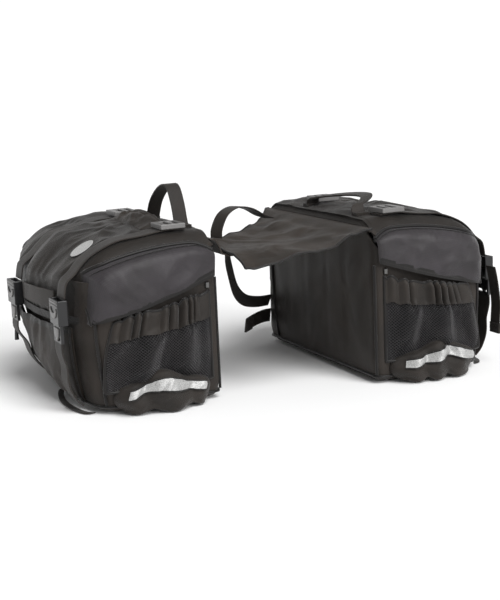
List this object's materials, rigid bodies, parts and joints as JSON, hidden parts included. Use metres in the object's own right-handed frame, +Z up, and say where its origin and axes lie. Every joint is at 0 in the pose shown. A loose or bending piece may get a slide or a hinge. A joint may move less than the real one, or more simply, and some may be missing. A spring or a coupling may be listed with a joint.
{
  "type": "motorcycle saddlebag pair",
  "caption": "Pair of soft throw-over motorcycle saddlebags with hinged lids, mesh end pockets and buckled straps, joined by a fabric yoke.",
  "frame": {"origin": "centre of the bounding box, on the floor", "axes": "+Z up, +Y along the motorcycle away from the near ends, +X from the left bag to the right bag"},
  "size_m": [0.7822, 0.5948, 0.3392],
  "materials": {
    "tub_fabric": "matte woven nylon",
    "lid_fabric": "matte woven nylon",
    "pocket_fabric": "matte woven nylon",
    "mesh": "open knitted mesh",
    "elastic": "gathered binding",
    "webbing": "ribbed nylon webbing",
    "yoke_fabric": "matte woven nylon",
    "reflective": "glass-bead reflective tape",
    "black_nylon": "moulded, fine grain",
    "grey_nylon": "moulded, fine grain",
    "board": "flat sheet",
    "zip_metal": "tumbled",
    "patch": "plain reflective disc",
    "cord": "braided"
  },
  "bodies": {
    "left_bag": {"left_bag_shell": "tub_fabric", "left_back_board": "board", "left_base_board": "board", "left_outer_pocket": "pocket_fabric", "left_wrap_strap": "webbing", "left_near_mesh_pocket": "mesh", "left_near_pocket_elastic": "elastic", "left_near_rain_pouch": "pocket_fabric", "left_near_reflective_strip": "reflective", "left_near_lower_strap": "webbing", "left_far_mesh_pocket": "mesh", "left_far_pocket_elastic": "elastic", "left_far_rain_pouch": "pocket_fabric", "left_far_reflective_strip": "reflective", "left_far_lower_strap": "webbing"},
    "left_lid_cover": {"left_lid": "lid_fabric", "left_near_lid_strap": "webbing", "left_far_lid_strap": "webbing", "left_near_buckle_socket": "black_nylon", "left_far_buckle_socket": "black_nylon", "left_round_patch": "patch", "left_pull_cord": "cord", "left_cord_end": "black_nylon"},
    "left_handle": {"left_carry_handle": "webbing"},
    "left_yoke": {"left_yoke_flap": "yoke_fabric"},
    "right_yoke": {"right_yoke_flap": "yoke_fabric", "yoke_strap": "webbing"},
    "right_bag": {"right_bag_shell": "tub_fabric", "right_back_board": "board", "right_base_board": "board", "right_outer_pocket": "pocket_fabric", "right_wrap_strap": "webbing", "right_near_mesh_pocket": "mesh", "right_near_pocket_elastic": "elastic", "right_near_rain_pouch": "pocket_fabric", "right_near_reflective_strip": "reflective", "right_near_lower_strap": "webbing", "right_far_mesh_pocket": "mesh", "right_far_pocket_elastic": "elastic", "right_far_rain_pouch": "pocket_fabric", "right_far_reflective_strip": "reflective", "right_far_lower_strap": "webbing"},
    "right_lid_cover": {"right_lid": "lid_fabric", "right_near_lid_strap": "webbing", "right_far_lid_strap": "webbing", "right_near_buckle_socket": "black_nylon", "right_far_buckle_socket": "black_nylon", "right_loose_strap": "webbing"},
    "right_handle": {"right_carry_handle": "webbing"},
    "left_near_prong": {"left_near_buckle_prong": "black_nylon"},
    "left_near_adjuster": {"left_near_strap_adjuster": "grey_nylon"},
    "left_far_prong": {"left_far_buckle_prong": "black_nylon"},
    "left_far_adjuster": {"left_far_strap_adjuster": "grey_nylon"},
    "left_zip": {"left_zip_slider": "zip_metal"},
    "right_near_prong": {"right_near_buckle_prong": "black_nylon"},
    "right_near_adjuster": {"right_near_strap_adjuster": "grey_nylon"},
    "right_far_prong": {"right_far_buckle_prong": "black_nylon"},
    "right_far_adjuster": {"right_far_strap_adjuster": "grey_nylon"},
    "right_zip": {"right_zip_slider": "zip_metal"}
  },
  "joints": [
    {"name": "left_lid_hinge", "type": "hinge", "parent": "left_bag", "child": "left_lid_cover", "pos_m": [-0.125, 0.037, 0.2675], "axis": [0, 1, 0], "range_deg": [0, 90]},
    {"name": "left_handle_fold", "type": "hinge", "parent": "left_lid_cover", "child": "left_handle", "pos_m": [-0.147, 0.037, 0.28656], "axis": [0, -1, 0], "range_deg": [0, 70]},
    {"name": "left_near_buckle_release", "type": "slide", "parent": "left_bag", "child": "left_near_prong", "axis": [0, 0, -1], "range_m": [0, 0.022]},
    {"name": "left_near_adjuster_tilt", "type": "hinge", "parent": "left_lid_cover", "child": "left_near_adjuster", "pos_m": [-0.1615, -0.113, 0.28137], "axis": [0, 1, 0], "range_deg": [0, 30]},
    {"name": "left_far_buckle_release", "type": "slide", "parent": "left_bag", "child": "left_far_prong", "axis": [0, 0, -1], "range_m": [0, 0.022]},
    {"name": "left_far_adjuster_tilt", "type": "hinge", "parent": "left_lid_cover", "child": "left_far_adjuster", "pos_m": [-0.1615, 0.112, 0.28137], "axis": [0, 1, 0], "range_deg": [0, 30]},
    {"name": "left_zip_slide", "type": "slide", "parent": "left_bag", "child": "left_zip", "axis": [-0.9806, 0, -0.1961], "range_m": [0, 0.07]},
    {"name": "right_lid_hinge", "type": "hinge", "parent": "right_bag", "child": "right_lid_cover", "pos_m": [0.125, -0.037, 0.2675], "axis": [0, -1, 0], "range_deg": [0, 90]},
    {"name": "right_handle_fold", "type": "hinge", "parent": "right_lid_cover", "child": "right_handle", "pos_m": [0.147, -0.037, 0.28656], "axis": [0, 1, 0], "range_deg": [-74, 0]},
    {"name": "right_near_buckle_release", "type": "slide", "parent": "right_bag", "child": "right_near_prong", "axis": [0, 0, -1], "range_m": [0, 0.022]},
    {"name": "right_near_adjuster_tilt", "type": "hinge", "parent": "right_lid_cover", "child": "right_near_adjuster", "pos_m": [0.1615, -0.187, 0.28137], "axis": [0, -1, 0], "range_deg": [0, 30]},
    {"name": "right_far_buckle_release", "type": "slide", "parent": "right_bag", "child": "right_far_prong", "axis": [0, 0, -1], "range_m": [0, 0.022]},
    {"name": "right_far_adjuster_tilt", "type": "hinge", "parent": "right_lid_cover", "child": "right_far_adjuster", "pos_m": [0.1615, 0.038, 0.28137], "axis": [0, -1, 0], "range_deg": [0, 30]},
    {"name": "right_zip_slide", "type": "slide", "parent": "right_bag", "child": "right_zip", "axis": [0.9806, 0, -0.1961], "range_m": [0, 0.07]},
    {"name": "left_yoke_hinge", "type": "hinge", "parent": "left_bag", "child": "left_yoke", "pos_m": [-0.125, 0, 0.2575], "axis": [0, 1, 0], "range_deg": [-3, 20]},
    {"name": "yoke_width_adjust", "type": "slide", "parent": "left_yoke", "child": "right_yoke", "axis": [1, 0, 0], "range_m": [0, 0.04]},
    {"name": "right_yoke_hinge", "type": "hinge", "parent": "right_yoke", "child": "right_bag", "pos_m": [0.125, 0, 0.2575], "axis": [0, 1, 0], "range_deg": [-20, 20]}
  ]
}
